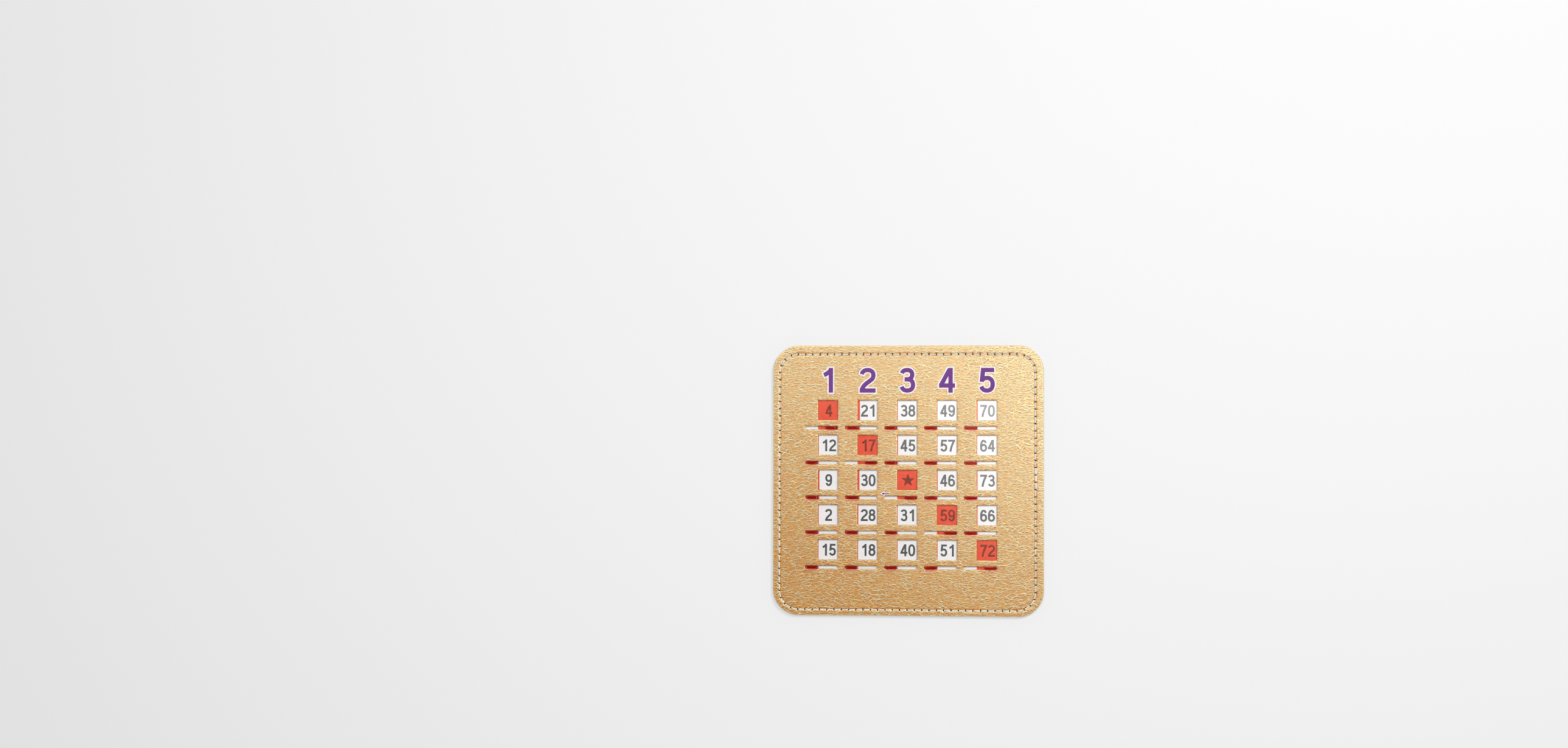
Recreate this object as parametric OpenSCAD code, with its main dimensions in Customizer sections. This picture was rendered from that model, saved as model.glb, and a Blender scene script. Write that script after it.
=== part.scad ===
// Bingo card with sliding shutters: a stitched laminate of leatherette and board.
// Each number shows in a window, and a shutter with a finger tab slides across to cover it.
// The card lies face up: X runs to the right, Y towards the heading, Z out of the face.

/* [Card] */
// Width of the card
card_w = 210; // [200:1:260]
// Height of the card
card_h = 210; // [200:1:260]
// Radius of the card's corners
corner_r = 20; // [10:0.5:26]

/* [Plies] */
// Thickness of the leatherette on the face
front_skin_t = 0.5; // [0.3:0.05:1]
// Thickness of the board under the face
front_board_t = 0.6; // [0.4:0.05:1.2]
// Thickness of the guide board, which sets the depth of the channels
guide_t = 0.7; // [0.6:0.05:1.5]
// Thickness of the printed number card
number_card_t = 0.3; // [0.2:0.05:0.6]
// Thickness of the back board
back_board_t = 0.6; // [0.4:0.05:2]
// Thickness of the leatherette on the back
back_skin_t = 0.6; // [0.5:0.05:1]

/* [Number grid] */
// Distance between neighbouring columns
col_pitch = 30.85; // [29:0.05:32]
// Distance between neighbouring rows
row_pitch = 27.1; // [26.4:0.1:28]
// Distance of the middle column from the card's centre line
grid_x = -0.5; // [-2:0.1:2]
// Distance of the middle row from the card's centre line
grid_y = 0.2; // [-3:0.1:3]
// Side of the square windows
window_w = 15.4; // [14:0.1:15.6]

/* [Shutters] */
// Overlap of a closed shutter on each side of its window
blade_cover = 0.05; // [0:0.05:0.3]
// Overlap of the blade above its window
blade_top_cover = 1; // [0.5:0.1:1.2]
// Width of the blade below the finger tab
blade_foot = 0.8; // [0.4:0.1:1]
// Thickness of the blade
blade_t = 0.45; // [0.3:0.05:0.5]
// Radius of the blade's corners
blade_corner_r = 0.8; // [0.2:0.1:2]
// Least gap between neighbouring shutters
shutter_gap = 0.1; // [0.1:0.05:0.5]
// Play between the blade and the walls of its channel
blade_play = 0.3; // [0.2:0.05:0.4]
// Gap between the blade and the number card
blade_lift = 0.1; // [0:0.05:0.1]

/* [Finger tabs] */
// Length of the tab
tab_len = 9.5; // [7:0.1:11]
// Thickness of the tab
tab_t = 1.6; // [1.2:0.1:2]
// Height of the tab above the face
tab_h = 4.6; // [3:0.1:8]
// Distance by which the left end leans in at the top
tab_lean = 1.2; // [0.4:0.1:2]
// Radius of the top right corner
tab_round_r = 1.6; // [0.6:0.1:2]
// Radius of the top left corner
tab_nose_r = 0.6; // [0.2:0.1:1]
// Radius of the tab's upright edges
tab_edge_r = 0.4; // [0.2:0.05:0.5]
// Distance of the tab from the right side of the blade
tab_inset = 0.4; // [0:0.1:1]
// Distance of the slot's centre line below the window
slot_drop = 6; // [5:0.1:6.4]
// Clearance on each side of the tab in its slot
tab_side_clear = 0.4; // [0.3:0.05:0.6]
// Clearance at each end of the tab's travel
tab_end_clear = 0.3; // [0.25:0.05:0.6]

/* [Seam] */
// Distance of the seam from the card's edge
seam_inset = 5.7; // [4:0.1:7]
// Sideways drift of the seam
seam_x = -0.6; // [-1:0.1:1]
// Drift of the seam towards the heading
seam_y = -1.2; // [-1.5:0.1:1.5]
// Distance between needle holes
stitch_pitch = 5.65; // [4:0.05:8]
// Length of thread that dips into the holes between two stitches
stitch_dip = 0.9; // [0.6:0.1:1.5]
// Radius of the thread on the face
needle_thread_r = 0.45; // [0.3:0.05:0.5]
// Radius of the thread on the back
bobbin_thread_r = 0.35; // [0.25:0.05:0.35]
// Depth to which the face gives under the seam
needle_sink = 0.15; // [0.05:0.05:0.2]
// Depth to which the back gives under the seam
bobbin_sink = 0.4; // [0.35:0.05:0.4]
// Clearance beside the thread in its furrow
thread_clear = 0.1; // [0.05:0.05:0.3]

/* [Hidden] */
// Rows and columns of the game
grid_n = 5;
// Fineness of the curves
$fn = 48;

// Heights of the plies, from the back up
back_board_z = back_skin_t;
number_card_z = back_board_z + back_board_t;
guide_z = number_card_z + number_card_t;
front_board_z = guide_z + guide_t;
front_skin_z = front_board_z + front_board_t;
face_z = front_skin_z + front_skin_t;

// Shutters and their slots, measured from the centre of a window
blade_w = window_w + 2 * blade_cover;
travel = col_pitch - blade_w - shutter_gap;
slot_w = tab_t + 2 * tab_side_clear;
slot_len = tab_len + travel + 2 * tab_end_clear;
slot_y = -window_w / 2 - slot_drop;
tab_right = blade_w / 2 - tab_inset;
slot_right = tab_right + tab_end_clear;
blade_z = guide_z + blade_lift;
blade_top = window_w / 2 + blade_top_cover;
blade_bottom = slot_y - tab_t / 2 - blade_foot;
channel_len = (grid_n - 1) * col_pitch + blade_w + travel + 2 * blade_play;
channel_right = blade_w / 2 + blade_play;

// Seam round the edge
seam_r = corner_r - seam_inset;
seam_w = card_w - 2 * seam_inset;
seam_h = card_h - 2 * seam_inset;
across_stitches = round((seam_w - 2 * seam_r) / stitch_pitch);
upright_stitches = round((seam_h - 2 * seam_r) / stitch_pitch);
corner_stitches = round(PI / 2 * seam_r / stitch_pitch);
corner_sag = seam_r * (1 - cos(45 / corner_stitches));

// How far each open shutter has crept out of its resting end, row by row.
// The shutters on the falling diagonal are closed.
creep = [
    [0.0, 1.5, 0.1, 0.1, 0.5],
    [0.2, 0.0, 0.3, 0.1, 0.1],
    [0.8, 1.2, 0.0, 0.3, 0.3],
    [0.3, 0.4, 0.1, 0.0, 0.3],
    [0.2, 0.2, 0.1, 0.2, 0.0]
];

function col_x(c) = grid_x + (c - (grid_n + 1) / 2) * col_pitch;
function row_y(r) = grid_y + ((grid_n + 1) / 2 - r) * row_pitch;
function slid(r, c) = r == c ? travel : creep[r - 1][c - 1];
function shutter_name(r, c) = str("shutter_r", r, "_c", c);

// Rectangle with round corners, centred
module rounded_rect(w, h, r) {
    square([w - 2 * r, h], center = true);
    square([w, h - 2 * r], center = true);
    for (x = [-1, 1], y = [-1, 1])
        translate([x * (w / 2 - r), y * (h / 2 - r)])
            circle(r);
}

// One ply of the card, less the openings given as children
module ply(z, t) {
    translate([0, 0, z])
        linear_extrude(t)
            difference() {
                rounded_rect(card_w, card_h, corner_r);
                children();
            }
}

module at_each_cell() {
    for (r = [1:grid_n], c = [1:grid_n])
        translate([col_x(c), row_y(r)])
            children();
}

module slot() {
    translate([slot_right - slot_len / 2, slot_y]) {
        square([slot_len - slot_w, slot_w], center = true);
        for (end = [-1, 1])
            translate([end * (slot_len - slot_w) / 2, 0])
                circle(slot_w / 2);
    }
}

module windows_and_slots() {
    at_each_cell() {
        square(window_w, center = true);
        slot();
    }
}

module channels() {
    for (r = [1:grid_n])
        translate([
            col_x(grid_n) + channel_right - channel_len / 2,
            row_y(r) + (blade_top + blade_bottom) / 2
        ])
            square([channel_len, blade_top - blade_bottom + 2 * blade_play], center = true);
}

// Furrow that the tight thread presses into the leatherette
module furrow(thread_r, z, depth) {
    half_w = thread_r + thread_clear;
    reach_in = half_w + corner_sag;
    translate([seam_x, seam_y, z])
        linear_extrude(depth)
            difference() {
                rounded_rect(seam_w + 2 * half_w, seam_h + 2 * half_w, seam_r + half_w);
                rounded_rect(seam_w - 2 * reach_in, seam_h - 2 * reach_in, seam_r - reach_in);
            }
}

// Needle holes of one side and the corner after it, side 0 along the top, counter-clockwise
function side_run(side) = side % 2 == 0 ? seam_w - 2 * seam_r : seam_h - 2 * seam_r;
function side_reach(side) = side % 2 == 0 ? seam_h / 2 : seam_w / 2;
function side_stitches(side) = side % 2 == 0 ? across_stitches : upright_stitches;
function turned(p, a) = [p.x * cos(a) - p.y * sin(a), p.x * sin(a) + p.y * cos(a)];
function straight_holes(side) = [
    for (i = [0:side_stitches(side) - 1])
        [side_run(side) * (0.5 - i / side_stitches(side)), side_reach(side)]
];
function corner_holes(side) = [
    for (i = [0:corner_stitches - 1])
        let (a = 90 + 90 * i / corner_stitches)
            [-side_run(side) / 2, side_reach(side) - seam_r] + seam_r * [cos(a), sin(a)]
];
needle_holes = [
    for (side = [0:3], p = concat(straight_holes(side), corner_holes(side)))
        turned(p, 90 * side) + [seam_x, seam_y]
];

// Half-round length of thread along X, flat side down
module stitch(length, r) {
    rotate([90, 0, 90])
        translate([0, 0, -length / 2])
            rotate_extrude(angle = 180)
                intersection() {
                    union() {
                        translate([0, r])
                            square([r, length - 2 * r]);
                        for (end = [r, length - r])
                            translate([0, end])
                                circle(r);
                    }
                    square([r, length]);
                }
}

module seam(thread_r) {
    count = len(needle_holes);
    for (i = [0:count - 1]) {
        run = needle_holes[(i + 1) % count] - needle_holes[i];
        middle = needle_holes[i] + run / 2;
        translate([middle.x, middle.y, 0])
            rotate(atan2(run.y, run.x))
                stitch(norm(run) - stitch_dip, thread_r);
    }
}

module front_leatherette() {
    color("burlywood")
        difference() {
            ply(front_skin_z, front_skin_t)
                windows_and_slots();
            furrow(needle_thread_r, face_z - needle_sink, needle_sink + front_skin_t);
        }
}

module front_board() {
    color("whitesmoke")
        ply(front_board_z, front_board_t)
            windows_and_slots();
}

module guide_board() {
    color("dimgray")
        ply(guide_z, guide_t)
            channels();
}

module number_card() {
    color("white")
        ply(number_card_z, number_card_t);
}

module back_board() {
    color("darkgray")
        ply(back_board_z, back_board_t);
}

module back_leatherette() {
    color("burlywood")
        difference() {
            ply(0, back_skin_t);
            furrow(bobbin_thread_r, bobbin_sink - back_skin_t, back_skin_t);
        }
}

module needle_thread() {
    color("ivory")
        translate([0, 0, face_z - needle_sink])
            seam(needle_thread_r);
}

module bobbin_thread() {
    color("ivory")
        translate([0, 0, bobbin_sink])
            mirror([0, 0, 1])
                seam(bobbin_thread_r);
}

// Side view of the finger tab, from the underside of the blade, left end at the origin
module tab_profile() {
    top = face_z - blade_z + tab_h;
    slope = atan2(tab_h, tab_lean);
    cut = tab_nose_r * tan(slope / 2);
    polygon([
        [0, 0],
        [tab_len, 0],
        [tab_len, top - tab_round_r],
        [tab_len - tab_round_r, top],
        [tab_lean + cut, top],
        [tab_lean - cut * cos(slope), top - cut * sin(slope)],
        [0, top - tab_h]
    ]);
    translate([tab_len - tab_round_r, top - tab_round_r])
        circle(tab_round_r);
    translate([tab_lean + cut, top - tab_nose_r])
        circle(tab_nose_r);
}

module finger_tab() {
    translate([tab_right - tab_len, slot_y, blade_z])
        intersection() {
            translate([tab_len / 2, 0, 0])
                linear_extrude(face_z - blade_z + tab_h)
                    rounded_rect(tab_len, tab_t, tab_edge_r);
            rotate([90, 0, 0])
                linear_extrude(tab_t, center = true)
                    tab_profile();
        }
}

module blade() {
    translate([0, (blade_top + blade_bottom) / 2, blade_z])
        linear_extrude(blade_t)
            rounded_rect(blade_w, blade_top - blade_bottom, blade_corner_r);
}

module shutter(r, c) {
    color("crimson")
        translate([col_x(c) - travel + slid(r, c), row_y(r), 0]) {
            blade();
            finger_tab();
        }
}

front_leatherette();
front_board();
guide_board();
number_card();
back_board();
back_leatherette();
needle_thread();
bobbin_thread();
for (r = [1:grid_n], c = [1:grid_n])
    shutter(r, c);
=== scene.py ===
import math
import random

import bpy
import numpy as np
from mathutils import Matrix, Vector, noise
from mathutils.geometry import delaunay_2d_cdt


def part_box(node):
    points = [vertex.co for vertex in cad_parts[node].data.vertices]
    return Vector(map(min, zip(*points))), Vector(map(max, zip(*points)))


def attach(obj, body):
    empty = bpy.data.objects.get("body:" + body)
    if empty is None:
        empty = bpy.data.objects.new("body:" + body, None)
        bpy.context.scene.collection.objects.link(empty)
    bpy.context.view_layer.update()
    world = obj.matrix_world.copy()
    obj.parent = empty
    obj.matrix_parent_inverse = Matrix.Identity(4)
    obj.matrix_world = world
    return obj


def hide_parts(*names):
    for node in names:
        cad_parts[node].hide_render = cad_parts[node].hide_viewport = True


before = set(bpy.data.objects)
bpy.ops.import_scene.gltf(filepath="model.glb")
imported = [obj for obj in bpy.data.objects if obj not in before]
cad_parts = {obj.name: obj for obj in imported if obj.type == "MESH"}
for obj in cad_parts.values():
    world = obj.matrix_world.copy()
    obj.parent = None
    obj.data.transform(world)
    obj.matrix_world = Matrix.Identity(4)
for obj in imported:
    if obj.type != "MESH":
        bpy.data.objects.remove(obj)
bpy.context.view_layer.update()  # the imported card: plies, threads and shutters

mm = 0.001  # sizes below are in millimetres, meshes in metres

card = {
    "cornerR": 20.0,
    "windowSide": 15.4,
    "bladeCover": 1.0,  # reach of a blade above its window
    "slotWidth": 2.4,
    "slotLength": 25.35,
    "slotRight": 7.65,  # right end of a slot, from the middle of its window
    "slotDrop": 13.7,  # middle line of a slot, below the middle of its window
    "gridCount": 5,
}


def boxOf(nodeName):
    low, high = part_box(nodeName)
    return np.array(low) / mm, np.array(high) / mm


def shutterName(row, col):
    return f"shutter_r{row + 1}_c{col + 1}"


skinLow, skinHigh = boxOf("front_leatherette")
cardW, cardH = skinHigh[:2] - skinLow[:2]
faceZ = skinHigh[2]
gridRange = range(card["gridCount"])
closedBoxes = [boxOf(shutterName(k, k)) for k in gridRange]  # the diagonal is closed, so it marks the grid
colX = [(low[0] + high[0]) / 2 for low, high in closedBoxes]
rowY = [high[1] - card["bladeCover"] - card["windowSide"] / 2 for low, high in closedBoxes]
cells = [(row, col) for row in gridRange for col in gridRange]
print("card", cardW, "x", cardH, "mm, face at", faceZ)


# Flat outlines: loops of points, counter-clockwise, in millimetres

def spaced(loop, step):
    points = []
    for a, b in zip(loop, np.roll(loop, -1, axis=0)):
        count = max(1, math.ceil(np.hypot(*(b - a)) / step - 1e-6))
        points += [a + (b - a) * i / count for i in range(count)]
    return np.array(points)


def roundedLoop(w, h, r, step, cx=0.0, cy=0.0, arcStep=None):
    arcCount = max(1, math.ceil(r * math.pi / 2 / (arcStep or step))) if r > 0 else 0
    keys = []
    for turn, (sx, sy) in enumerate(((1, 1), (-1, 1), (-1, -1), (1, -1))):
        for i in range(arcCount + 1):
            a = (turn + (i / arcCount if arcCount else 0)) * math.pi / 2
            point = (cx + sx * (w / 2 - r) + r * math.cos(a), cy + sy * (h / 2 - r) + r * math.sin(a))
            if not keys or math.dist(point, keys[-1]) > 1e-6:
                keys.append(point)
    if math.dist(keys[0], keys[-1]) < 1e-6:
        keys.pop()
    return spaced(np.array(keys), step)


def roundedDistance(points, w, h, r, cx=0.0, cy=0.0):
    qx = np.abs(points[:, 0] - cx) - (w / 2 - r)
    qy = np.abs(points[:, 1] - cy) - (h / 2 - r)
    outside = np.hypot(np.maximum(qx, 0), np.maximum(qy, 0))
    return outside + np.minimum(np.maximum(qx, qy), 0) - r


def insidePolygon(points, polygon):
    x, y = points[:, 0], points[:, 1]
    inside = np.zeros(len(points), bool)
    for (x0, y0), (x1, y1) in zip(polygon, np.roll(polygon, -1, axis=0)):
        if y0 == y1:
            continue
        crosses = (y0 > y) != (y1 > y)
        inside ^= crosses & (x < (x1 - x0) * (y - y0) / (y1 - y0) + x0)
    return inside


def insideAny(points, polygons):
    found = np.zeros(len(points), bool)
    for polygon in polygons:
        low, high = polygon.min(0), polygon.max(0)
        near = np.flatnonzero(((points >= low) & (points <= high)).all(1) & ~found)
        found[near] = insidePolygon(points[near], polygon)
    return found


def openings():
    side, width = card["windowSide"], card["slotWidth"]
    for row, col in cells:
        slotX = colX[col] + card["slotRight"] - card["slotLength"] / 2
        slotY = rowY[row] - card["slotDrop"]
        yield side, side, 0.0, colX[col], rowY[row]
        yield card["slotLength"], width, width / 2, slotX, slotY


def openingDistance(points):
    nearest = np.full(len(points), 1e9)
    for w, h, r, cx, cy in openings():
        nearest = np.minimum(nearest, roundedDistance(points, w, h, r, cx, cy))
    return nearest


def triangulate(points, loops):
    edges, first = [], len(points)
    every = [points] + loops
    for loop in loops:
        count = len(loop)
        edges += [(first + i, first + (i + 1) % count) for i in range(count)]
        first += count
    flat = [Vector(p) for p in np.vstack(every)]
    verts, _, faces, *_ = delaunay_2d_cdt(flat, edges, [], 0, 1e-7, False)
    return np.array([tuple(v) for v in verts]), np.array(faces)


# Numbers, drawn as strokes of one width in a cell one unit high

def arc(cx, cy, rx, ry, start, end, squareness=2.25, count=16):
    a = np.radians(np.linspace(start, end, count))
    bend = 2 / squareness
    x = np.sign(np.cos(a)) * np.abs(np.cos(a)) ** bend
    y = np.sign(np.sin(a)) * np.abs(np.sin(a)) ** bend
    return np.c_[cx + rx * x, cy + ry * y]


def bezier(p0, p1, p2, p3, count=12):
    t = np.linspace(0, 1, count)[:, None]
    p0, p1, p2, p3 = (np.array(p, float) for p in (p0, p1, p2, p3))
    return p0 * (1 - t) ** 3 + 3 * p1 * t * (1 - t) ** 2 + 3 * p2 * t * t * (1 - t) + p3 * t ** 3


def digitLines(digit, w, s):
    mid, rx = w / 2, (w - s) / 2
    low, high = s / 2, 1 - s / 2
    waist = high - 0.385 * (1 - s) / 0.848
    lowR, highR = (waist - low) / 2, (high - waist) / 2
    six = [
        arc(mid, low + 0.245, rx, 0.245, -100, 100),
        arc(mid, low + 0.245, rx, 0.245, 80, 280),
        arc(mid, 0.5, rx, 0.5 - s / 2, 32, 196, 2.2, 24),
    ]
    if digit == "0":
        return [arc(mid, 0.5, rx, 0.5 - s / 2, a - 100, a + 100, 2.4, 26) for a in (0, 180)]
    if digit == "1":
        stem = mid + 0.11
        flag = bezier((mid - 0.17, 0.71), (mid - 0.06, 0.75), (mid + 0.04, 0.83), (stem, 1 - s / 2))
        return [np.array([(stem, 0), (stem, 1)]), flag]
    if digit == "2":
        bowl = arc(mid, high - 0.21, rx, 0.21, 172, -28)
        end = bowl[-1]
        leg = bezier(end, end + (-0.05, -0.13), (low + 0.06, s + 0.20), (low + 0.01, s * 0.7))
        return [np.vstack([bowl, leg[1:]]), np.array([(0, low), (w, low)])]
    if digit == "3":
        top = arc(mid - 0.01, waist + highR, rx * 0.9, highR, 165, -90)
        bottom = arc(mid, waist - lowR, rx, lowR, 90, -165)
        return [top, bottom, np.array([(mid - 0.11, waist), (mid, waist)])]
    if digit == "4":
        stem, bar = w - s / 2 - 0.09, 0.29
        slope = np.array([(stem - s * 0.2, 1 - s * 0.3), (s * 0.42, bar)])
        return [np.array([(stem, 0), (stem, 1)]), np.array([(0, bar), (w, bar)]), slope]
    if digit == "5":
        bowl = arc(mid, low + 0.255, rx, 0.255, 148, -162)
        upright = np.array([(s / 2 + 0.09, 1), bowl[0] + (0.0, -s * 0.3)])
        return [np.array([(s / 2 + 0.03, high), (w - 0.03, high)]), upright, bowl]
    if digit == "6":
        return six
    if digit == "7":
        leg = bezier((w - s * 0.55, high), (mid + 0.12, 0.7), (mid - 0.05, 0.4), (mid - 0.09, 0))
        return [np.array([(0, high), (w, high)]), leg]
    if digit == "8":
        rings = [(waist + highR, rx * 0.88, highR), (waist - lowR, rx, lowR)]
        return [arc(mid, cy, rr, ry, a - 100, a + 100) for cy, rr, ry in rings for a in (0, 180)]
    return [np.array([(w, 1)]) - line for line in six]  # a nine is a six turned round


def strokeOutline(line, width, grow=0.0):
    along = np.gradient(line, axis=0)
    along /= np.hypot(*along.T)[:, None]
    side = np.c_[-along[:, 1], along[:, 0]] * (width / 2 + grow)
    line = line.copy()
    line[0] -= along[0] * grow
    line[-1] += along[-1] * grow
    return np.vstack([line - side, (line + side)[::-1]])


def numberOutlines(text, height, look, cx, cy, grow=0.0):
    w, s = look["digitWidth"], look["strokeWidth"]
    total = len(text) * w + (len(text) - 1) * look["digitGap"]
    polygons = []
    for k, digit in enumerate(text):
        start = np.array([k * (w + look["digitGap"]) - total / 2, -0.5])
        for line in digitLines(digit, w, s):
            placed = (line + start) * height + (cx, cy)
            polygons.append(strokeOutline(placed, s * height, grow))
    return polygons


def starOutline(radius, inner, cx, cy):
    a = np.radians(90 + 36 * np.arange(10))
    r = np.where(np.arange(10) % 2 == 0, radius, radius * inner)
    return np.c_[cx + r * np.cos(a), cy + r * np.sin(a)]


def arrowOutlines(look, grow=0.0):
    tip, half = look["length"] / 2, look["shaft"] / 2 + grow
    head, wide = look["head"], look["headWidth"] / 2
    reach = grow * 2.2  # a sharp point moves out further than its sides
    shaft = [(-tip + head * 0.6, half), (-tip + head * 0.6, -half), (tip + grow, -half), (tip + grow, half)]
    point = [(-tip - reach, 0), (-tip + head + grow, -wide - reach), (-tip + head + grow, wide + reach)]
    return [np.array(p, float) + (look["x"], look["y"]) for p in (shaft, point)]


# Seam: needle holes round the card, as they were sewn

seam = {
    "inset": 5.7,
    "driftX": -0.6,
    "driftY": -1.2,
    "pitch": 5.65,
    "wobble": 0.10,  # how far the needle strays
    "joinTop": 14.0,  # the seam starts and ends on the right edge, between these heights
    "joinBottom": -8.0,
    "seed": 11,
}


def needleHoles():
    r = card["cornerR"] - seam["inset"]
    w, h = cardW - 2 * seam["inset"], cardH - 2 * seam["inset"]
    corner = round(math.pi / 2 * r / seam["pitch"])
    draw = random.Random(seam["seed"])
    holes = []
    for side in range(4):
        run, reach = (w - 2 * r, h / 2) if side % 2 == 0 else (h - 2 * r, w / 2)
        count = round(run / seam["pitch"])
        points = [(run * (0.5 - i / count), reach) for i in range(count)]
        for i in range(corner):
            a = math.pi / 2 * (1 + i / corner)
            points.append((-run / 2 + r * math.cos(a), reach - r + r * math.sin(a)))
        turn = np.array(Matrix.Rotation(math.pi / 2 * side, 2))
        holes += [turn @ p + (seam["driftX"], seam["driftY"]) for p in points]
    holes = np.array(holes)
    stray = [[draw.uniform(-1, 1) * seam["wobble"] for k in range(2)] for hole in holes]
    return holes + stray


holes = needleHoles()
nextHoles = np.roll(holes, -1, axis=0)


def seamDistances(points):
    toThread = np.full(len(points), 1e9)
    toHole = np.full(len(points), 1e9)
    edge = -roundedDistance(points, cardW, cardH, card["cornerR"])
    near = np.flatnonzero(edge < 3 * seam["inset"])
    p = points[near]
    line, spot = toThread[near], toHole[near]
    for a, b in zip(holes, nextHoles):
        run = b - a
        t = np.clip(((p - a) @ run) / (run @ run), 0, 1)
        line = np.minimum(line, np.hypot(*(p - a - t[:, None] * run).T))
        spot = np.minimum(spot, np.hypot(*(p - a).T))
    toThread[near], toHole[near] = line, spot
    return toThread, toHole


def seamPoints(look):
    points = []
    for a, b in zip(holes, nextHoles):
        run = b - a
        length = np.hypot(*run)
        side = np.array([-run[1], run[0]]) / length
        count = round(length / look["seamStep"])
        for i in range(1, count):
            if look["holeR"] < length * i / count < length - look["holeR"]:
                points += [a + run * i / count + side * offset for offset in look["seamRows"]]
        points.append(a)
        for ring, sides in look["holeRings"]:
            turn = 2 * math.pi * np.arange(sides) / sides
            points += list(a + ring * np.c_[np.cos(turn), np.sin(turn)])
    return np.array(points)


# Mesh making

def makePiece(name, verts, faces, materials, slots=None, smoothAngle=50):
    mesh = bpy.data.meshes.new(name)
    mesh.from_pydata((np.asarray(verts) * mm).tolist(), [], [list(map(int, f)) for f in faces])
    for material in materials:
        mesh.materials.append(material)
    if slots is not None:
        mesh.polygons.foreach_set("material_index", np.asarray(slots, np.int32))
    mesh.polygons.foreach_set("use_smooth", np.ones(len(mesh.polygons), bool))
    mesh.set_sharp_from_angle(angle=math.radians(smoothAngle))
    mesh.update()
    piece = bpy.data.objects.new(name, mesh)
    bpy.context.scene.collection.objects.link(piece)
    return piece


def boundaryEdges(faces):
    sides = np.vstack([faces[:, [0, 1]], faces[:, [1, 2]], faces[:, [2, 0]]])
    keys = np.sort(sides, axis=1)
    _, first, count = np.unique(keys, axis=0, return_index=True, return_counts=True)
    return sides[first[count == 1]]


def closeSheet(flat, faces, z, innerZ, outward):
    # the outer face, walls down from its rims, and a plain inner face
    follow = dict(boundaryEdges(faces).tolist())
    loops = []
    while follow:
        start, after = follow.popitem()
        loop = [start]
        while after != start:
            loop.append(after)
            after = follow.pop(after)
        loops.append(np.array(loop))
    rim = np.vstack([np.c_[loop, np.roll(loop, -1)] for loop in loops])
    rimVerts = np.unique(rim)
    count = len(flat)
    innerOf = np.full(count, -1)
    innerOf[rimVerts] = count + np.arange(len(rimVerts))
    verts = np.vstack([np.c_[flat, z], np.c_[flat[rimVerts], np.full(len(rimVerts), innerZ)]])
    walls = np.c_[rim[:, 1], rim[:, 0], innerOf[rim[:, 0]], innerOf[rim[:, 1]]]
    inner = triangulateLoops(flat, loops)
    inner = innerOf[inner][:, ::-1]
    if outward < 0:
        faces, walls, inner = faces[:, ::-1], walls[:, ::-1], inner[:, ::-1]
    return verts, faces, walls, inner


def triangulateLoops(flat, loops):
    # triangles between the loops, as numbers of the given points
    order = np.concatenate(loops)
    edges, first = [], 0
    for loop in loops:
        edges += [(first + i, first + (i + 1) % len(loop)) for i in range(len(loop))]
        first += len(loop)
    points = [Vector(p) for p in flat[order]]
    verts, _, faces, origin, *_ = delaunay_2d_cdt(points, edges, [], 0, 1e-7, True)
    numbers = np.array([order[o[0]] for o in origin])
    faces = numbers[np.array(faces)]
    middle = flat[faces].mean(1)
    polygons = [flat[loop] for loop in loops]
    depth = sum(insidePolygon(middle, polygon).astype(int) for polygon in polygons)
    return faces[depth % 2 == 1]


flatMap = {"face": 0.90, "margin": 0.01, "wallStart": 0.92, "wallStep": 0.0034, "corner": 0.012}


def layFlatMap(piece, verts, faces, walls, inner):
    # the outer face fills most of the map; the walls lie beside it in narrow columns, the inner face is small
    scale, margin = flatMap["face"] / cardW, flatMap["margin"]
    flat = margin + (verts[:, :2] + (cardW / 2, cardH / 2)) * scale
    small = 1 - 2 * flatMap["corner"] + verts[:, :2] / cardW * flatMap["corner"]
    length = np.linalg.norm(verts[walls[:, 0]] - verts[walls[:, 1]], axis=1) * scale
    start = np.cumsum(length) - length
    column = np.floor(start / flatMap["face"])
    along = margin + start - column * flatMap["face"]
    depth = np.abs(verts[walls, 2] - verts[faces[:, 0], 2].mean()) * scale
    wallU = flatMap["wallStart"] + column[:, None] * flatMap["wallStep"] + depth
    wallV = along[:, None] + length[:, None] * (1, 0, 0, 1)
    parts = [flat[faces].reshape(-1, 2), np.c_[wallU.ravel(), wallV.ravel()], small[inner].reshape(-1, 2)]
    layer = piece.data.uv_layers.new(name="OFBake")
    layer.data.foreach_set("uv", np.vstack(parts).astype(np.float32).ravel())


# Materials

def paint(red, green, blue):
    def linear(v):
        v /= 255
        return v / 12.92 if v <= 0.04045 else ((v + 0.055) / 1.055) ** 2.4
    return linear(red), linear(green), linear(blue), 1.0


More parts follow.
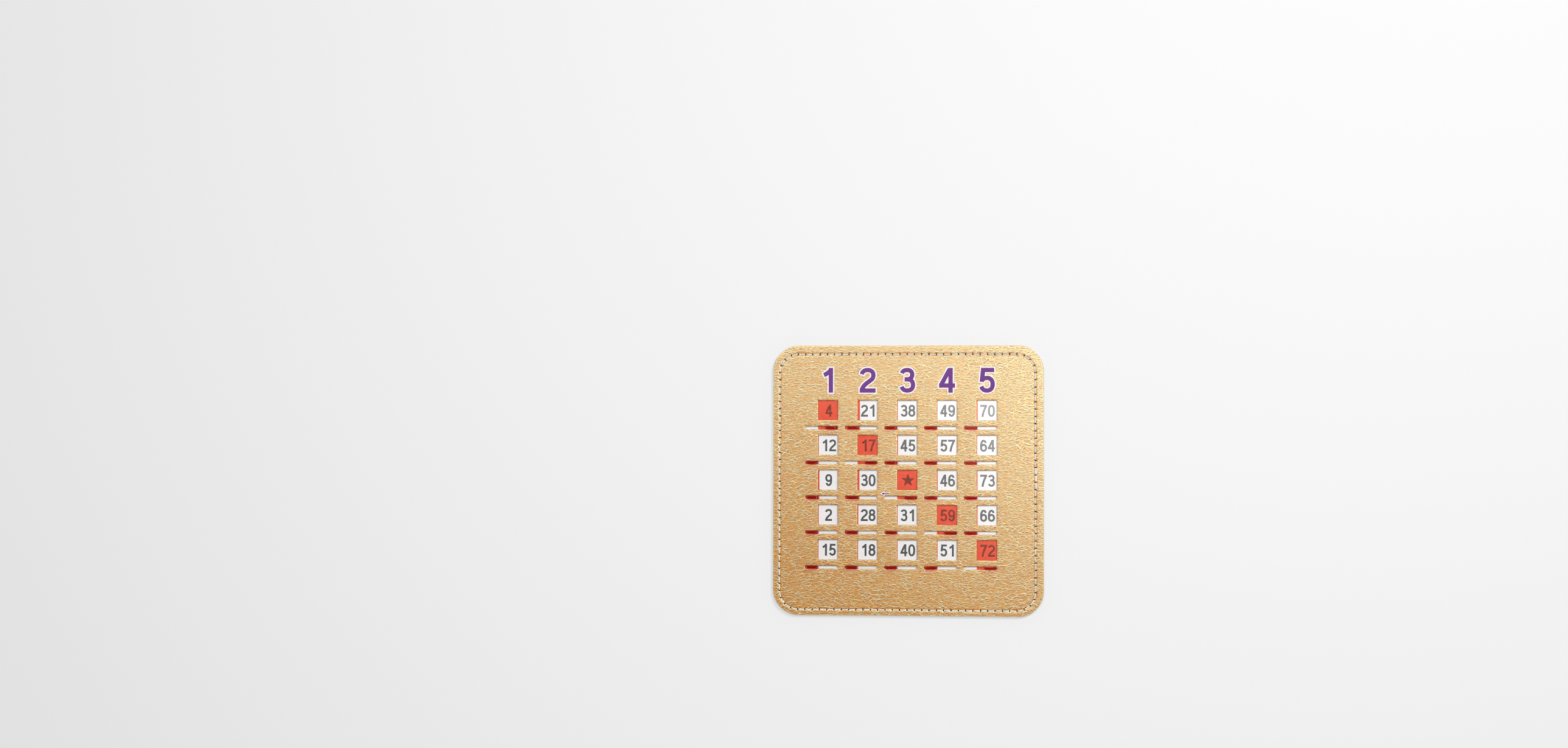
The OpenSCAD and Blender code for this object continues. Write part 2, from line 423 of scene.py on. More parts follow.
class Finish:
    def __init__(self, name):
        self.material = bpy.data.materials.new(name)
        self.material.use_nodes = True
        self.tree = self.material.node_tree
        self.tree.nodes.clear()
        self.out = self.add("ShaderNodeOutputMaterial")

    def add(self, kind, inputs=None, **settings):
        made = self.tree.nodes.new(kind)
        for name, value in settings.items():
            setattr(made, name, value)
        for name, value in (inputs or {}).items():
            self.put(made.inputs[name], value)
        return made

    def put(self, socket, value):
        if isinstance(value, bpy.types.NodeSocket):
            self.tree.links.new(value, socket)
        else:
            socket.default_value = value

    def body(self, **inputs):
        made = self.add("ShaderNodeBsdfPrincipled", inputs)
        self.tree.links.new(made.outputs[0], self.out.inputs["Surface"])
        return made

    def millimetres(self):
        place = self.add("ShaderNodeTexCoord").outputs["Object"]
        return self.vector("SCALE", place, scale=1 / mm)

    def vector(self, operation, a, b=None, scale=None):
        made = self.add("ShaderNodeVectorMath", {0: a}, operation=operation)
        if b is not None:
            self.put(made.inputs[1], b)
        if scale is not None:
            self.put(made.inputs["Scale"], scale)
        return made.outputs[0]

    def math(self, operation, a, b=0.0):
        return self.add("ShaderNodeMath", {0: a, 1: b}, operation=operation).outputs[0]

    def ramp(self, value, low, high, start=0.0, end=1.0):
        inputs = {"Value": value, "From Min": low, "From Max": high, "To Min": start, "To Max": end}
        return self.add("ShaderNodeMapRange", inputs, interpolation_type="SMOOTHSTEP").outputs[0]

    def blend(self, factor, a, b):
        made = self.add("ShaderNodeMix", {0: factor, 6: a, 7: b}, data_type="RGBA")
        return made.outputs[2]

    def noise(self, place, scale, detail=2.0, roughness=0.5, colour=False):
        inputs = {"Vector": place, "Scale": scale, "Detail": detail, "Roughness": roughness}
        return self.add("ShaderNodeTexNoise", inputs).outputs["Color" if colour else "Fac"]

    def cellEdge(self, place, size, shift):
        moved = self.vector("ADD", place, shift)
        inputs = {"Vector": self.vector("DIVIDE", moved, (*size, 1.0)), "Scale": 1.0}
        settings = {"feature": "DISTANCE_TO_EDGE", "voronoi_dimensions": "2D"}
        return self.add("ShaderNodeTexVoronoi", inputs, **settings).outputs["Distance"]

    def creases(self, place, size, step=0.06):
        # distance to the nearest crease in millimetres, how steeply it runs, and which side of it
        here = self.cellEdge(place, size, (0, 0, 0))
        along = self.math("SUBTRACT", self.cellEdge(place, size, (step, 0, 0)), here)
        across = self.math("SUBTRACT", self.cellEdge(place, size, (0, step, 0)), here)
        lean = self.math("MINIMUM", self.math("ABSOLUTE", self.math("MULTIPLY", along, size[0] / step)), 1.0)
        lean = self.math("POWER", lean, 2.0)
        slope = self.math("ADD", size[1] ** -2, self.math("MULTIPLY", lean, size[0] ** -2 - size[1] ** -2))
        distance = self.math("DIVIDE", here, self.math("SQRT", slope))
        return distance, lean, self.math("MULTIPLY", across, size[1] / step)

    def bump(self, height, depth):
        inputs = {"Height": height, "Distance": depth * mm, "Strength": 1.0}
        return self.add("ShaderNodeBump", inputs).outputs[0]

    def warped(self, place, scale, reach, detail=1.0):
        drift = self.vector("SUBTRACT", self.noise(place, scale, detail, colour=True), (0.5, 0.5, 0.5))
        return self.vector("ADD", place, self.vector("SCALE", drift, scale=reach))


grain = {
    "swirl": (0.028, 13.0),  # scale of the slow turn of the creases, and how far it carries them
    "tremor": (0.5, 1.4),
    "folds": (  # size of the cells between creases, half width, strength
        {"size": (4.8, 2.7), "half": 0.12, "strength": 1.0, "seed": 0.0},
        {"size": (3.2, 1.9), "half": 0.09, "strength": 0.85, "seed": 31.7},
    ),
    "wornScale": 0.26,
    "worn": (0.36, 0.58, 0.22),  # where creases are rubbed away, and how much of them is left
    "upright": (0.5, 1.0, 1.0, 0.15),  # steep creases are faint
    "lineEdge": (0.2, 2.2),  # a crease fades between these shares of its half width
    "shadeReach": (0.35, 1.1, 1.0, 0.0),  # the painted shadow on the lower side of a crease
    "shadeSide": (0.2, -0.4),
    "patchScale": 0.22,
    "patch": (0.38, 0.62),
    "pebble": (0.85, 1.15, 0.85),
    "pebbleLight": (0.08, 0.50, 0.0),  # offset that paints each pebble a lit side and a shaded side, as if lit from above
    # painted shade on the pebbles' shaded sides, and painted highlight on their lit sides
    "pebbleShade": (0.0, -0.14, 0.0, 0.8),
    "pebbleHighlight": (0.0, 0.14, 0.0, 0.6),
    "tan": paint(212, 133, 8),
    "orange": paint(208, 116, 4),
    # the painted highlight colour on the lit side of the pebbles
    "light": paint(252, 178, 34),
    # crease line colour: the skin's two-tone cream with a painted highlight on the ridges
    "creamHighlight": paint(255, 242, 190),
    # the painted shade colour, for the pebbles' shaded sides and the shadow beside creases
    "shadeBrown": paint(108, 50, 0),
    "rim": paint(246, 226, 182),
    "backing": paint(62, 50, 40),
    "sheen": (0.97, 1.0, 0.68, 1.0),
    "creaseShare": 0.97,
    "rimShare": 0.75,
    "creaseHeight": 0.35,
    "pebbleHeight": 1.2,
    "relief": 0.035,
    "roughness": (0.26, 0.38),  # of the skin, and of its valleys where shade is painted
    "ior": 1.9,
    "gloss": 0.65,
}


def leatherFinish(name, backing):
    skin = Finish(name)
    place = skin.millimetres()
    swirled = skin.warped(place, *grain["swirl"])
    shaken = skin.warped(swirled, *grain["tremor"], detail=2.0)
    crease, shade = 0.0, 0.0
    for fold in grain["folds"]:
        moved = skin.vector("ADD", shaken, (fold["seed"], fold["seed"], 0.0))
        distance, lean, side = skin.creases(moved, fold["size"])
        worn = skin.ramp(skin.noise(moved, grain["wornScale"], 1.0), *grain["worn"], fold["strength"])
        worn = skin.math("MULTIPLY", worn, skin.ramp(lean, *grain["upright"]))
        thin, wide = (fold["half"] * share for share in grain["lineEdge"])
        line = skin.ramp(distance, thin, wide, 1.0, 0.0)
        # painted shadow along the lower side of each crease, as if lit from above
        near = skin.ramp(distance, *grain["shadeReach"])
        under = skin.math("MULTIPLY", near, skin.ramp(side, *grain["shadeSide"]))
        crease = skin.math("MAXIMUM", crease, skin.math("MULTIPLY", line, worn))
        shade = skin.math("MAXIMUM", shade, skin.math("MULTIPLY", under, worn))
    pebble = skin.noise(skin.vector("MULTIPLY", place, grain["pebble"]), 1.0, 2.0, 0.6)
    # the pebble shifted toward the light, to paint a lit side and a shaded side
    beside = skin.vector("MULTIPLY", skin.vector("ADD", place, grain["pebbleLight"]), grain["pebble"])
    lit = skin.math("SUBTRACT", pebble, skin.noise(beside, 1.0, 2.0, 0.6))
    patch = skin.ramp(skin.noise(swirled, grain["patchScale"], 2.0), *grain["patch"])
    # painted shade: the pebbles' shaded sides and the shadow beside creases
    paintedShade = skin.math("MAXIMUM", skin.ramp(lit, *grain["pebbleShade"]), shade)
    tone = skin.blend(patch, grain["orange"], grain["tan"])
    # painted highlight on the lit side of the pebbles
    tone = skin.blend(skin.ramp(lit, *grain["pebbleHighlight"]), tone, grain["light"])
    # painted shade, in a dark brown
    tone = skin.blend(paintedShade, tone, grain["shadeBrown"])
    # the cream crease lines: the skin's two-tone cream and a painted highlight on the ridges
    tone = skin.blend(skin.math("MULTIPLY", crease, grain["creaseShare"]), tone, grain["creamHighlight"])
    edge = skin.add("ShaderNodeAttribute", attribute_name="rim").outputs["Fac"]
    tone = skin.blend(skin.math("MULTIPLY", edge, grain["rimShare"]), tone, grain["rim"])
    z = skin.add("ShaderNodeSeparateXYZ", {0: place}).outputs[2]
    tone = skin.blend(skin.ramp(z, *backing), tone, grain["backing"])
    ridge = skin.math("MULTIPLY", crease, grain["creaseHeight"])
    height = skin.math("SUBTRACT", ridge, skin.math("MULTIPLY", pebble, grain["pebbleHeight"]))
    # rougher where shade is painted, smoother on the creases
    shadeLessCrease = skin.math("SUBTRACT", paintedShade, crease)
    skin.body(**{
        "Base Color": tone,
        "Roughness": skin.ramp(shadeLessCrease, 0.0, 0.8, *grain["roughness"]),
        "Normal": skin.bump(height, grain["relief"]),
        "IOR": grain["ior"],
        "Specular IOR Level": grain["gloss"],
        "Specular Tint": grain["sheen"],
    })
    return skin.material


def inkFinish(name, colour, look):
    ink = Finish(name)
    place = ink.millimetres()
    patch = ink.ramp(ink.noise(place, look["patchScale"], 3.0), 0.3, 0.7)
    tone = ink.blend(patch, colour, tuple(v * look["patchDepth"] for v in colour[:3]) + (1.0,))
    height = ink.noise(place, look["grainScale"], 3.0)
    ink.body(**{
        "Base Color": tone,
        "Roughness": ink.ramp(height, 0.3, 0.7, look["roughness"] - 0.06, look["roughness"] + 0.06),
        "Normal": ink.bump(height, look["relief"]),
        "Specular IOR Level": look["gloss"],
        "Coat Weight": look["coat"],
        "Coat IOR": look["coatIor"],
        "Coat Roughness": look["coatRoughness"],
    })
    return ink.material


boardLook = {
    "fibre": (0.9, 0.9, 7.0),  # fibres lie along the sheet
    "fibreEdge": (0.35, 0.65),
    "pulpScale": 3.0,
    "flecks": (0.55, 0.75),
    "fleckShare": 0.5,
    "roughness": (0.78, 0.95),
    "relief": 0.05,
    "gloss": 0.25,
}


def boardFinish(name, colour, dark, light):
    board = Finish(name)
    place = board.millimetres()
    fibre = board.noise(board.vector("MULTIPLY", place, boardLook["fibre"]), 1.0, 4.0, 0.6)
    pulp = board.noise(place, boardLook["pulpScale"], 4.0, 0.65)
    flecks = board.math("MULTIPLY", board.ramp(pulp, *boardLook["flecks"]), boardLook["fleckShare"])
    tone = board.blend(board.ramp(fibre, *boardLook["fibreEdge"]), dark, colour)
    tone = board.blend(flecks, tone, light)
    board.body(**{
        "Base Color": tone,
        "Roughness": board.ramp(pulp, 0.3, 0.7, *boardLook["roughness"]),
        "Normal": board.bump(board.math("ADD", fibre, pulp), boardLook["relief"]),
        "Specular IOR Level": boardLook["gloss"],
    })
    return board.material


threadLook = {
    "lintScale": 6.0,
    "soilScale": 0.25,
    "soil": (0.35, 0.75),
    "clean": paint(250, 249, 245),
    "soiled": paint(236, 232, 222),
    "fluff": paint(196, 188, 172),
    "fluffEdge": (0.55, 0.75),
    "fluffShare": 0.3,
    "roughness": (0.62, 0.82),
    "relief": 0.04,
    "sheen": 0.25,
}


def threadFinish(name):
    thread = Finish(name)
    place = thread.millimetres()
    lint = thread.noise(place, threadLook["lintScale"], 3.0)
    soil = thread.ramp(thread.noise(place, threadLook["soilScale"], 2.0), *threadLook["soil"])
    fluff = thread.math("MULTIPLY", thread.ramp(lint, *threadLook["fluffEdge"]), threadLook["fluffShare"])
    tone = thread.blend(soil, threadLook["clean"], threadLook["soiled"])
    tone = thread.blend(fluff, tone, threadLook["fluff"])
    thread.body(**{
        "Base Color": tone,
        "Roughness": thread.ramp(lint, 0.3, 0.7, *threadLook["roughness"]),
        "Normal": thread.bump(lint, threadLook["relief"]),
        "Sheen Weight": threadLook["sheen"],
    })
    return thread.material


plastic = {
    "ior": 1.49,
    "density": 5200.0,  # per metre, so that a blade is coral and a tab dark red
    "tint": (0.979, 0.55, 0.36, 1.0),
    "surface": (1.0, 0.93, 0.92, 1.0),
    "drag": (0.12, 2.5, 2.5),  # scuffs run the way the shutter slides
    "scuffs": 0.08,
    "rubbed": (0.14, 0.04),  # roughness of a blade, and of its tab, which stays bright
    "gloss": 0.3,
    "relief": 0.006,
    "shadow": (0.93, 0.93, 0.93, 1.0),
}


def plasticFinish(name):
    red = Finish(name)
    place = red.millimetres()
    drag = red.noise(red.vector("MULTIPLY", place, plastic["drag"]), 1.0, 3.0)
    z = red.add("ShaderNodeSeparateXYZ", {0: place}).outputs[2]
    scuffs = red.ramp(drag, 0.3, 0.7, 0.0, plastic["scuffs"])
    rubbed = red.ramp(z, faceZ - 1.0, faceZ, *plastic["rubbed"])
    body = red.body(**{
        "Base Color": plastic["surface"],
        "Roughness": red.math("ADD", scuffs, rubbed),
        "Transmission Weight": 1.0,
        "IOR": plastic["ior"],
        "Specular IOR Level": plastic["gloss"],
        "Normal": red.bump(drag, plastic["relief"]),
    })
    path = red.add("ShaderNodeLightPath").outputs
    through = red.math("MAXIMUM", path["Is Shadow Ray"], path["Is Diffuse Ray"])
    clear = red.add("ShaderNodeBsdfTransparent", {"Color": plastic["shadow"]})
    mixed = red.add("ShaderNodeMixShader", {0: through, 1: body.outputs[0], 2: clear.outputs[0]})
    red.put(red.out.inputs["Surface"], mixed.outputs[0])
    depth = red.add("ShaderNodeVolumeAbsorption", {"Color": plastic["tint"], "Density": plastic["density"]})
    red.put(red.out.inputs["Volume"], depth.outputs[0])
    return red.material


laminated = {
    "patchScale": 0.6,
    "patchDepth": 0.97,
    "grainScale": 0.9,
    "roughness": 0.4,
    "relief": 0.004,
    "gloss": 0.0,
    "coat": 1.0,
    "coatIor": 1.78,
    "coatRoughness": 0.2,
}
printed = {
    **laminated,
    "patchScale": 0.8,
    "patchDepth": 0.90,
    "grainScale": 1.6,
    "roughness": 0.5,
    "relief": 0.06,
    "gloss": 0.2,
    "coat": 0.0,
}
leatherFront = leatherFinish("leatheretteFront", (faceZ - 0.24, faceZ - 0.30))
leatherBack = leatherFinish("leatheretteBack", (0.30, 0.36))
# near-black painted shade inside the needle holes, standing in for the shadow down a deep hole
holeShade = inkFinish("needleHole", paint(22, 17, 14), {**printed, "roughness": 0.9, "gloss": 0.0})
purpleInk = inkFinish("purplePrint", paint(118, 60, 142), printed)
whiteInk = inkFinish("whitePrint", paint(253, 252, 253), printed)
paper = inkFinish("laminatedPaper", paint(250, 248, 247), laminated)
greyInk = inkFinish("greyNumberInk", paint(72, 74, 72), {**laminated, "patchDepth": 0.88})
whiteBoard = boardFinish("whiteBoard", paint(232, 228, 218), paint(206, 198, 184), paint(244, 241, 234))
greyBoard = boardFinish("greyBoard", paint(132, 120, 108), paint(84, 74, 66), paint(168, 158, 146))
threadWhite = threadFinish("whiteThread")
redPlastic = plasticFinish("redPlastic")
print("materials", len(bpy.data.materials))


# Leatherette: face with windows, slots, print and seam; back with the seam alone

skinLook = {
    "step": 0.9,
    "cutStep": 0.24,  # spacing of points round the corners of a cut, and of the rows beside it
    "rowStep": 0.4,
    "edgeR": 0.26,
    "edgeRows": (0.06, 0.15, 0.27),
    "pressed": 0.05,  # the die presses the skin down beside a cut
    "pressedReach": 0.9,
    "waves": ((0.16, 0.30, 0.035), (0.42, 0.62, 0.025)),  # scale along, across and depth of the skin's relief
    "seamStep": 0.7,
    "seamRows": (-0.8, -0.4, 0.0, 0.4, 0.8),
    "seamClear": 1.25,
    "holeR": 0.85,
    "holeRings": ((0.28, 6), (0.52, 10), (0.74, 10)),
    # reach of the painted shade in a needle hole
    "holeShadeR": 0.70,
    "printRelief": 0.4,  # ink fills part of the relief
    "rimReach": 0.35,
}
faceSeam = {"furrowDepth": 0.13, "furrowHalf": 0.55, "holeDepth": 0.34, "holeSpread": 0.5}
backSeam = {"furrowDepth": 0.42, "furrowHalf": 0.62, "holeDepth": 0.10, "holeSpread": 0.5}

heading = {
    "numbers": "12345",
    "height": 19.4,
    "y": 77.8,
    "outline": 0.95,
    "digitWidth": 0.64,
    "strokeWidth": 0.175,
    "digitGap": 0.08,
}
arrow = {"x": -17.4, "y": -10.4, "length": 6.2, "shaft": 0.8, "head": 2.0, "headWidth": 2.1, "outline": 0.4}


def printOutlines():
    inner, outer = [], []
    for col, number in enumerate(heading["numbers"]):
        for polygons, grow in ((inner, 0.0), (outer, heading["outline"])):
            polygons += numberOutlines(number, heading["height"], heading, colX[col], heading["y"], grow)
    inner += arrowOutlines(arrow)
    outer += arrowOutlines(arrow, arrow["outline"])
    return inner, outer


def relief(points):
    z = np.zeros(len(points))
    for along, across, depth in skinLook["waves"]:
        scaled = np.c_[points[:, 0] * along, points[:, 1] * across, np.full(len(points), along * 50)]
        z -= depth * np.array([0.5 + 0.5 * noise.noise(p) for p in scaled])
    return z


def leatherSkin(name, nodeName, outward, cuts, prints, seamLook, materials):
    low, high = boxOf(nodeName)
    outerZ, innerZ = (high[2], low[2]) if outward > 0 else (low[2], high[2])
    step = skinLook["step"]
    shapes = [(cardW, cardH, card["cornerR"], 0.0, 0.0, -1)] + [(*cut, 1) for cut in cuts]
    loops = [roundedLoop(w, h, r, step, cx, cy, skinLook["cutStep"]) for w, h, r, cx, cy, way in shapes]
    rows = []
    for d in skinLook["edgeRows"]:
        for w, h, r, cx, cy, way in shapes:
            grow = 2 * d * way
            rows.append(roundedLoop(w + grow, h + grow, r + d * way, step, cx, cy, skinLook["rowStep"]))
    columns = np.arange(-cardW / 2, cardW / 2, step)
    lines = np.arange(-cardH / 2, cardH / 2, step * math.sqrt(3) / 2)
    grid = np.array([(x + step / 2 * (k % 2), y) for k, y in enumerate(lines) for x in columns])

    def edgeDistance(points):
        edge = -roundedDistance(points, cardW, cardH, card["cornerR"])
        return np.minimum(edge, openingDistance(points)) if cuts else edge

    grid = grid[edgeDistance(grid) > skinLook["edgeRows"][-1] + step * 0.4]
    grid = grid[seamDistances(grid)[0] > skinLook["seamClear"]]
    free = np.vstack([grid, seamPoints(skinLook)] + rows)
    inks = prints[0] + prints[1]
    outlines = [spaced(polygon, step) for polygon in inks]
    flat, faces = triangulate(free, loops + outlines)
    middle = flat[faces].mean(1)
    faces = faces[edgeDistance(middle) > 0]
    middle = flat[faces].mean(1)

    edge = np.maximum(edgeDistance(flat), 0)
    toThread, toHole = seamDistances(flat)
    edgeR = skinLook["edgeR"]
    roll = edgeR - np.sqrt(edgeR ** 2 - (edgeR - np.minimum(edge, edgeR)) ** 2)
    drop = roll + skinLook["pressed"] * np.exp(-edge / skinLook["pressedReach"])
    drop += seamLook["furrowDepth"] * np.exp(-(toThread / seamLook["furrowHalf"]) ** 4)
    drop += seamLook["holeDepth"] * np.exp(-(toHole / seamLook["holeSpread"]) ** 2)
    onPrint = insideAny(flat, prints[1]) if prints[1] else np.zeros(len(flat), bool)
    drop -= relief(flat) * np.where(onPrint, skinLook["printRelief"], 1.0) * np.minimum(edge, 1.0)
    z = outerZ - outward * drop
    verts, faces, walls, inner = closeSheet(flat, faces, z, innerZ, outward)
    outerSlots = np.zeros(len(middle), int)
    if inks:
        outerSlots[insideAny(middle, prints[1])] = 3
        outerSlots[insideAny(middle, prints[0])] = 2
    # faces in the needle holes take the painted hole shade
    outerSlots[seamDistances(middle)[1] < skinLook["holeShadeR"]] = 1
    slots = np.concatenate([outerSlots, np.zeros(len(walls) + len(inner), int)])
    piece = makePiece(name, verts, [*faces, *walls, *inner], materials, slots)
    layFlatMap(piece, verts, faces, walls, inner)
    rim = np.zeros(len(verts), np.float32)
    outerEdge = np.maximum(-roundedDistance(flat, cardW, cardH, card["cornerR"]), 0)
    rim[:len(flat)] = np.exp(-(outerEdge / skinLook["rimReach"]) ** 2)
    piece.data.attributes.new("rim", "FLOAT", "POINT").data.foreach_set("value", rim)
    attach(piece, "card")
    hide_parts(nodeName)
    print(name, len(verts), "points,", len(piece.data.polygons), "faces")


faceInks = printOutlines()
faceMaterials = [leatherFront, holeShade, purpleInk, whiteInk]
leatherSkin("stitched_face", "front_leatherette", 1, list(openings()), faceInks, faceSeam, faceMaterials)
leatherSkin("stitched_back", "back_leatherette", -1, [], ([], []), backSeam, [leatherBack, holeShade])


# Number card: white laminate with the numbers printed in its face

numberCard = {
    "numbers": (
        (4, 21, 38, 49, 70),
        (12, 17, 45, 57, 64),
        (9, 30, 0, 46, 73),  # the free space in the middle has a star
        (2, 28, 31, 59, 66),
        (15, 18, 40, 51, 72),
    ),
    "height": 9.3,
    "shiftX": 0.5,
    "shiftY": -0.3,
    "digitWidth": 0.58,
    "strokeWidth": 0.165,
    "digitGap": 0.07,
    "starR": 5.4,
    "starInner": 0.42,
}


def printedCard():
    low, high = boxOf("number_card")
    polygons = []
    for row, col in cells:
        number = numberCard["numbers"][row][col]
        cx, cy = colX[col] + numberCard["shiftX"], rowY[row] + numberCard["shiftY"]
        if number:
            polygons += numberOutlines(str(number), numberCard["height"], numberCard, cx, cy)
        else:
            polygons.append(starOutline(numberCard["starR"], numberCard["starInner"], cx, cy))
    outer = roundedLoop(cardW, cardH, card["cornerR"], 3.0, arcStep=0.8)
    flat, faces = triangulate(np.zeros((0, 2)), [outer] + polygons)
    middle = flat[faces].mean(1)
    verts, faces, walls, inner = closeSheet(flat, faces, np.full(len(flat), high[2]), low[2], 1)
    slots = np.zeros(len(faces) + len(walls) + len(inner), int)
    slots[:len(faces)][insideAny(middle, polygons)] = 1
    piece = makePiece("printed_number_card", verts, [*faces, *walls, *inner], [paper, greyInk], slots)
    layFlatMap(piece, verts, faces, walls, inner)
    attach(piece, "card")
    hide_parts("number_card")
    print("number card", len(polygons), "strokes")


printedCard()


# Stitches: three twisted plies that rise out of one needle hole and dip into the next

needleThread = {
    "plies": 3,
    "plyR": 0.24,
    "twistR": 0.21,
    "twistPitch": 2.6,
    "segments": 18,
    "sides": 6,
    "gap": 0.52,  # a stitch starts this far from the middle of its hole
    "rise": 0.7,
    "dip": -0.46,
    "crown": 0.22,
    "phaseStep": 1.7,
}
bobbinThread = {**needleThread, "plyR": 0.16, "twistR": 0.145, "dip": -0.42, "crown": -0.33, "segments": 14}
seamEnd = {
    "side": 0.75,  # the last stitches lie this far beside the first ones
    "drift": 0.35,
    "phaseStep": 2.3,
    "upperTail": {"inset": 1.2, "direction": (-0.8, 0.35)},
    "lowerTail": {"inset": 1.5, "direction": (0.85, 0.3)},
    "tailLength": 2.4,
    "tailR": 0.17,
    "tailStrands": 5,
    "tailSides": 5,
    "tailLow": 0.12,
    "tailArch": 0.45,
    "tailTaper": 0.55,
    "tailSpread": 0.6,  # strands fan out by up to this angle, and are cut to between these shares
    "tailCut": (0.6, 1.0),
    "tailBow": (0.55, 0.8),
    "tailPoints": 7,
    "seed": 5,
}


def tube(path, radius, sides, verts, faces):
    path = np.asarray(path)
    radius = np.broadcast_to(radius, len(path))
    along = np.gradient(path, axis=0)
    along /= np.linalg.norm(along, axis=1)[:, None]
    across = np.cross(along, (0.0, 0.0, 1.0))
    thin = np.linalg.norm(across, axis=1) < 1e-6
    across[thin] = (1.0, 0.0, 0.0)
    across /= np.linalg.norm(across, axis=1)[:, None]
    rise = np.cross(along, across)
    first = len(verts)
    for k in range(len(path)):
        for i in range(sides):
            a = 2 * math.pi * i / sides
            verts.append(path[k] + radius[k] * (math.cos(a) * across[k] + math.sin(a) * rise[k]))
    for k in range(len(path) - 1):
        for i in range(sides):
            j = (i + 1) % sides
            at, after = first + k * sides, first + (k + 1) * sides
            faces.append((at + i, at + j, after + j, after + i))
    faces.append(tuple(first + i for i in reversed(range(sides))))
    faces.append(tuple(first + (len(path) - 1) * sides + i for i in range(sides)))


def stitch(a, b, z, way, look, phase, verts, faces):
    run = b - a
    short = look["gap"] / np.hypot(*run)
    a, run = a + run * short, run * (1 - 2 * short)
    length = np.hypot(*run)
    along = np.append(run / length, 0)
    side = np.array([-along[1], along[0], 0])
    t = 0.5 - 0.5 * np.cos(np.linspace(0, math.pi, look["segments"] + 1))
    fromEnd = np.clip(np.minimum(t, 1 - t) * length / look["rise"], 0, 1)
    lift = look["dip"] + (look["crown"] - look["dip"]) * np.sin(fromEnd * math.pi / 2)
    middle = np.c_[a + t[:, None] * run, z + way * lift]
    for ply in range(look["plies"]):
        turn = 2 * math.pi * (ply / look["plies"] + t * length / look["twistPitch"]) + phase
        offset = look["twistR"] * (np.cos(turn)[:, None] * side + np.sin(turn)[:, None] * (0, 0, 1))
        tube(middle + offset, look["plyR"], look["sides"], verts, faces)


def tail(start, direction, z, look, draw, verts, faces):
    direction = np.array(direction)
    for k in range(look["tailStrands"]):
        spread = draw.uniform(-look["tailSpread"], look["tailSpread"])
        turn = np.array(Matrix.Rotation(spread, 2))
        end = turn @ direction * look["tailLength"] * draw.uniform(*look["tailCut"])
        t = np.linspace(0, 1, look["tailPoints"])
        lift = look["tailLow"] + look["tailArch"] * np.sin(t * math.pi * draw.uniform(*look["tailBow"]))
        path = np.c_[start + t[:, None] * end, z + lift]
        tube(path, look["tailR"] * (1 - look["tailTaper"] * t), look["tailSides"], verts, faces)


def sewn(name, nodeName, z, way, look, joined):
    verts, faces = [], []
    for k, (a, b) in enumerate(zip(holes, nextHoles)):
        stitch(a, b, z, way, look, k * look["phaseStep"], verts, faces)
        onRight = a[0] > cardW / 2 - 2 * seam["inset"] and b[0] > cardW / 2 - 2 * seam["inset"]
        if joined and onRight and seam["joinBottom"] < min(a[1], b[1]) and max(a[1], b[1]) < seam["joinTop"]:
            beside = np.array([seamEnd["side"], 0.0])
            lower, upper = sorted((a, b), key=lambda p: p[1])
            phase = k * seamEnd["phaseStep"]
            stitch(lower + beside, upper + beside * seamEnd["drift"], z, way, look, phase, verts, faces)
    if joined:
        draw = random.Random(seamEnd["seed"])
        x = cardW / 2 - seam["inset"] + seam["driftX"]
        upper, lower = seamEnd["upperTail"], seamEnd["lowerTail"]
        upperEnd = np.array([x, seam["joinTop"] - upper["inset"]])
        lowerEnd = np.array([x + seamEnd["side"], seam["joinBottom"] + lower["inset"]])
        tail(upperEnd, upper["direction"], z, seamEnd, draw, verts, faces)
        tail(lowerEnd, lower["direction"], z, seamEnd, draw, verts, faces)
    piece = makePiece(name, np.array(verts), faces, [threadWhite], smoothAngle=80)
    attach(piece, "card")
    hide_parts(nodeName)
    print(name, len(faces), "faces")


sewn("needle_stitches", "needle_thread", faceZ, 1, needleThread, True)
sewn("bobbin_stitches", "bobbin_thread", boxOf("back_leatherette")[0][2], -1, bobbinThread, False)


# Boards and shutters keep their solids and get their finish here

def wear(nodeName, material):
    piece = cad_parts[nodeName]
    if not piece.material_slots:
        piece.data.materials.append(material)
    for slot in piece.material_slots:
        slot.material = material


boards = {"front_board": whiteBoard, "guide_board": greyBoard, "back_board": greyBoard}
for nodeName, material in boards.items():
    wear(nodeName, material)
for row, col in cells:
    wear(shutterName(row, col), redPlastic)
print("boards and shutters finished")


# Floor, light and camera

studio = {
    "floorSize": 12.0,
    "floorTone": paint(190, 190, 190),
    "floorLift": 0.40,  # seen by the camera, and in gloss and glass
    "wall": 0.92,
    "ceiling": 0.12,
    "wallFade": (0.15, 0.6),
    "overhead": {"at": (0.335, 0.27, 2.2), "size": 0.6, "power": 12.0},
    "side": {"at": (-0.34, 0.47, 1.6), "size": 0.5, "power": 5.9},
    "key": {"at": (0.75, 0.80, 1.3), "size": 0.40, "power": 11.2},
}


def seenDirectly(finish):
    path = finish.add("ShaderNodeLightPath").outputs
    seen = finish.math("MAXIMUM", path["Is Camera Ray"], path["Is Glossy Ray"])
    return finish.math("MAXIMUM", seen, path["Is Transmission Ray"])


def makeFloor():
    floor = Finish("paleFloor")
    body = floor.body(**{"Base Color": studio["floorTone"], "Roughness": 0.9, "Specular IOR Level": 0.0})
    lift = floor.math("MULTIPLY", seenDirectly(floor), studio["floorLift"])
    floor.put(body.inputs["Emission Strength"], lift)
    body.inputs["Emission Color"].default_value = (1, 1, 1, 1)
    half = studio["floorSize"] / 2
    corners = [(-half, -half, 0), (half, -half, 0), (half, half, 0), (-half, half, 0)]
    mesh = bpy.data.meshes.new("floor")
    mesh.from_pydata(corners, [], [(0, 1, 2, 3)])
    mesh.materials.append(floor.material)
    piece = bpy.data.objects.new("floor", mesh)
    bpy.context.scene.collection.objects.link(piece)


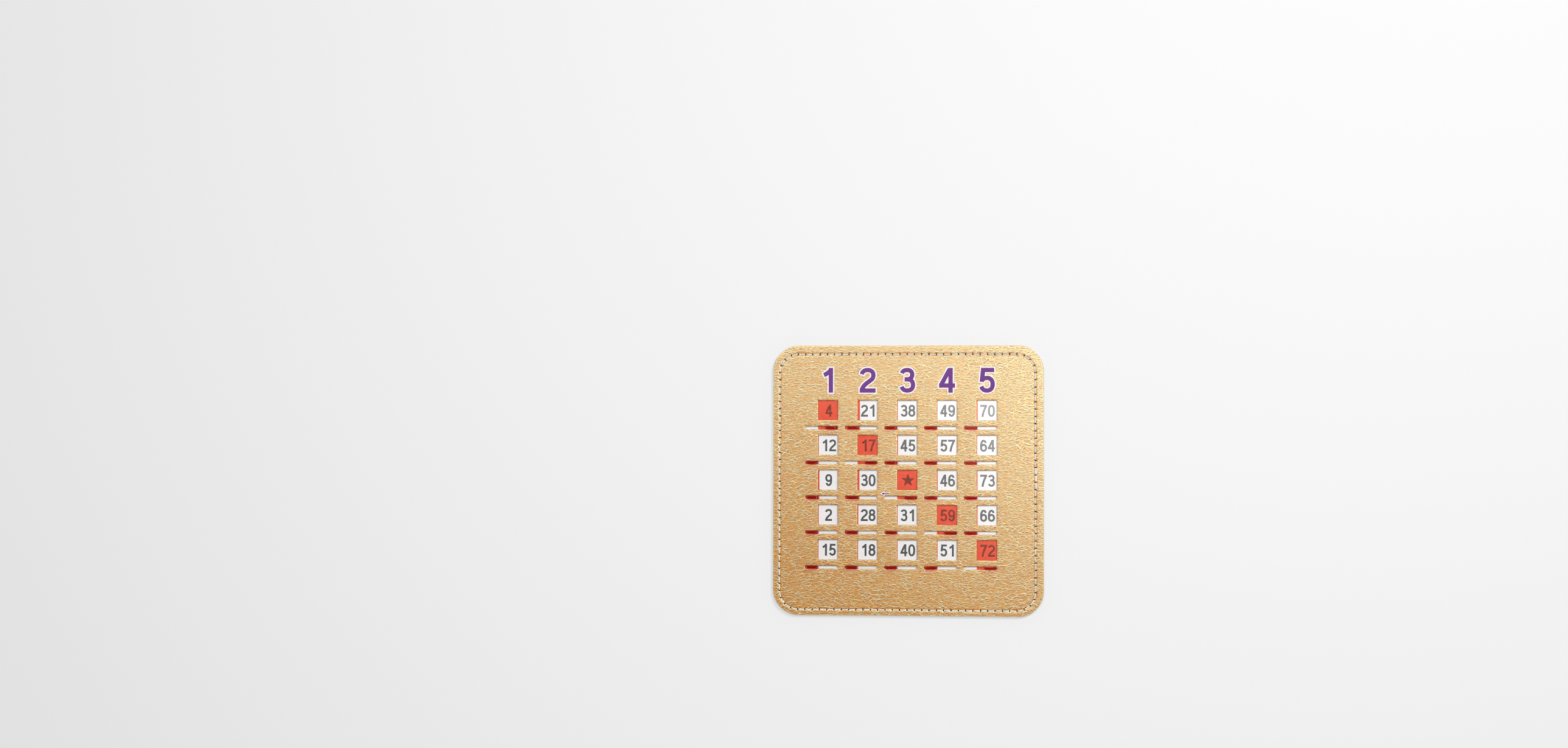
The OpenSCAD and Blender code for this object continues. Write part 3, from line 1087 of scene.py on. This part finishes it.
def makeWorld():
    world = bpy.data.worlds.new("paleRoom")
    bpy.context.scene.world = world
    world.use_nodes = True
    tree = world.node_tree
    back = tree.nodes["Background"]
    back.inputs["Color"].default_value = (1, 1, 1, 1)
    ahead = tree.nodes.new("ShaderNodeTexCoord")
    split = tree.nodes.new("ShaderNodeSeparateXYZ")
    level = tree.nodes.new("ShaderNodeMapRange")  # white walls under a darker ceiling
    low, high = studio["wallFade"]
    levels = {"From Min": low, "From Max": high, "To Min": studio["wall"], "To Max": studio["ceiling"]}
    for name, value in levels.items():
        level.inputs[name].default_value = value
    tree.links.new(ahead.outputs["Generated"], split.inputs[0])
    tree.links.new(split.outputs[2], level.inputs["Value"])
    tree.links.new(level.outputs[0], back.inputs["Strength"])


def makeLamp(name, look):
    light = bpy.data.lights.new(name, "AREA")
    light.size = look["size"]
    light.energy = look["power"]
    lamp = bpy.data.objects.new(name, light)
    lamp.location = look["at"]
    lamp.rotation_euler = (-Vector(look["at"])).to_track_quat("-Z", "Y").to_euler()
    bpy.context.scene.collection.objects.link(lamp)


view = {
    "eye": (48.3, 18.2, 1700.0),
    "aim": (-96.8, 82.7),  # the card lies right of and below the middle of the picture
    "roll": math.radians(0.18),
    "lens": 50.02,
}


def makeCamera():
    data = bpy.data.cameras.new("photoCamera")
    data.sensor_width = 36.0
    data.lens = view["lens"]
    data.clip_start, data.clip_end = 0.05, 50.0
    camera = bpy.data.objects.new("photoCamera", data)
    eye = Vector(view["eye"]) * mm
    ahead = (Vector((*view["aim"], faceZ)) * mm - eye).normalized()
    right = ahead.cross(Vector((0, 1, 0))).normalized()
    up = right.cross(ahead)
    turn = Matrix((right, up, -ahead)).transposed().to_4x4()
    camera.matrix_world = Matrix.Translation(eye) @ turn @ Matrix.Rotation(view["roll"], 4, "Z")
    bpy.context.scene.collection.objects.link(camera)
    bpy.context.scene.camera = camera


makeFloor()
makeWorld()
makeLamp("overheadSoftbox", studio["overhead"])
makeLamp("sideSoftbox", studio["side"])
makeLamp("keySoftbox", studio["key"])
makeCamera()
bpy.context.scene.view_settings.view_transform = "Standard"
print("studio ready")
